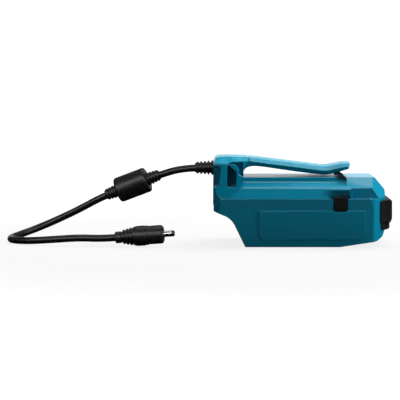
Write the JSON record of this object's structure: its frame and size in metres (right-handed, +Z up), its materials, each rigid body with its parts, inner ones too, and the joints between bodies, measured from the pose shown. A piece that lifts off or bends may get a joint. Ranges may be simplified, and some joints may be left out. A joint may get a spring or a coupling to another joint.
{
  "type": "slide-on battery holder",
  "caption": "Slide-on battery holder with belt hook, push button, covered power outlet and a thin lead with a choke and a barrel plug.",
  "frame": {"origin": "under the middle of the holder without its lead, in the plane of the skirt edges it stands on", "axes": "+X towards the closed end with the outlet cover, +Z up, -Y towards the side with the button"},
  "size_m": [0.2593, 0.0815, 0.0593],
  "materials": {
    "housing": "fine moulded grain, teal",
    "hook_plastic": "fine moulded grain, teal, lit from above",
    "black_rubber": "matte black rubber",
    "button_plastic": "satin black",
    "black_plastic": "plain black",
    "white_plastic": "plain off-white",
    "board": "green circuit board",
    "contact_metal": "tinned contact metal",
    "can_metal": "bright can",
    "sink_metal": "plain extruded",
    "outlet_metal": "plated steel",
    "screw_steel": "dark plated steel",
    "soft_plastic": "black moulded soft plastic",
    "cord_jacket": "black satin jacket",
    "ferrite": "sintered, dark grey",
    "wire_jacket": "plain coloured insulation"
  },
  "bodies": {
    "housing": {"near_shell": "housing", "far_shell": "housing", "hook_base": "hook_plastic", "hook_catch": "black_rubber", "switch_body": "black_plastic", "switch_board": "board", "main_board": "board", "terminal_block": "black_plastic", "power_blades": "contact_metal", "signal_blades": "contact_metal", "power_inductor": "black_plastic", "capacitors": "can_metal", "control_chips": "black_plastic", "heat_sink": "sink_metal", "usb_board": "board", "usb_shell": "outlet_metal", "usb_tongue": "white_plastic", "link_pins": "contact_metal", "cover_strap": "black_rubber", "shell_screws": "screw_steel", "hook_screws": "screw_steel", "cord_boot": "soft_plastic", "cord": "cord_jacket", "choke_case": "soft_plastic", "choke_core": "ferrite", "choke_boots": "soft_plastic", "plug_body": "soft_plastic", "plug_barrel": "outlet_metal", "plug_tip": "black_plastic", "plug_contact": "contact_metal", "lead_wires": "wire_jacket"},
    "button": {"power_button": "button_plastic", "switch_plunger": "black_plastic"},
    "cover": {"port_cover": "black_rubber"},
    "hook": {"hook_arm": "hook_plastic"}
  },
  "joints": [
    {"name": "button_press", "type": "slide", "parent": "housing", "child": "button", "axis": [0, 1, 0], "range_m": [0, 0.0008], "stiffness_N_per_m": 600, "springref_m": -0.002},
    {"name": "cover_swing", "type": "hinge", "parent": "housing", "child": "cover", "pos_m": [0.0581, 0, 0.01545], "axis": [0, 1, 0], "range_deg": [0, 100], "stiffness_Nm_per_rad": 0.02},
    {"name": "hook_flex", "type": "hinge", "parent": "housing", "child": "hook", "pos_m": [-0.03625, 0, 0.0589], "axis": [0, -1, 0], "range_deg": [0, 5], "stiffness_Nm_per_rad": 8}
  ]
}
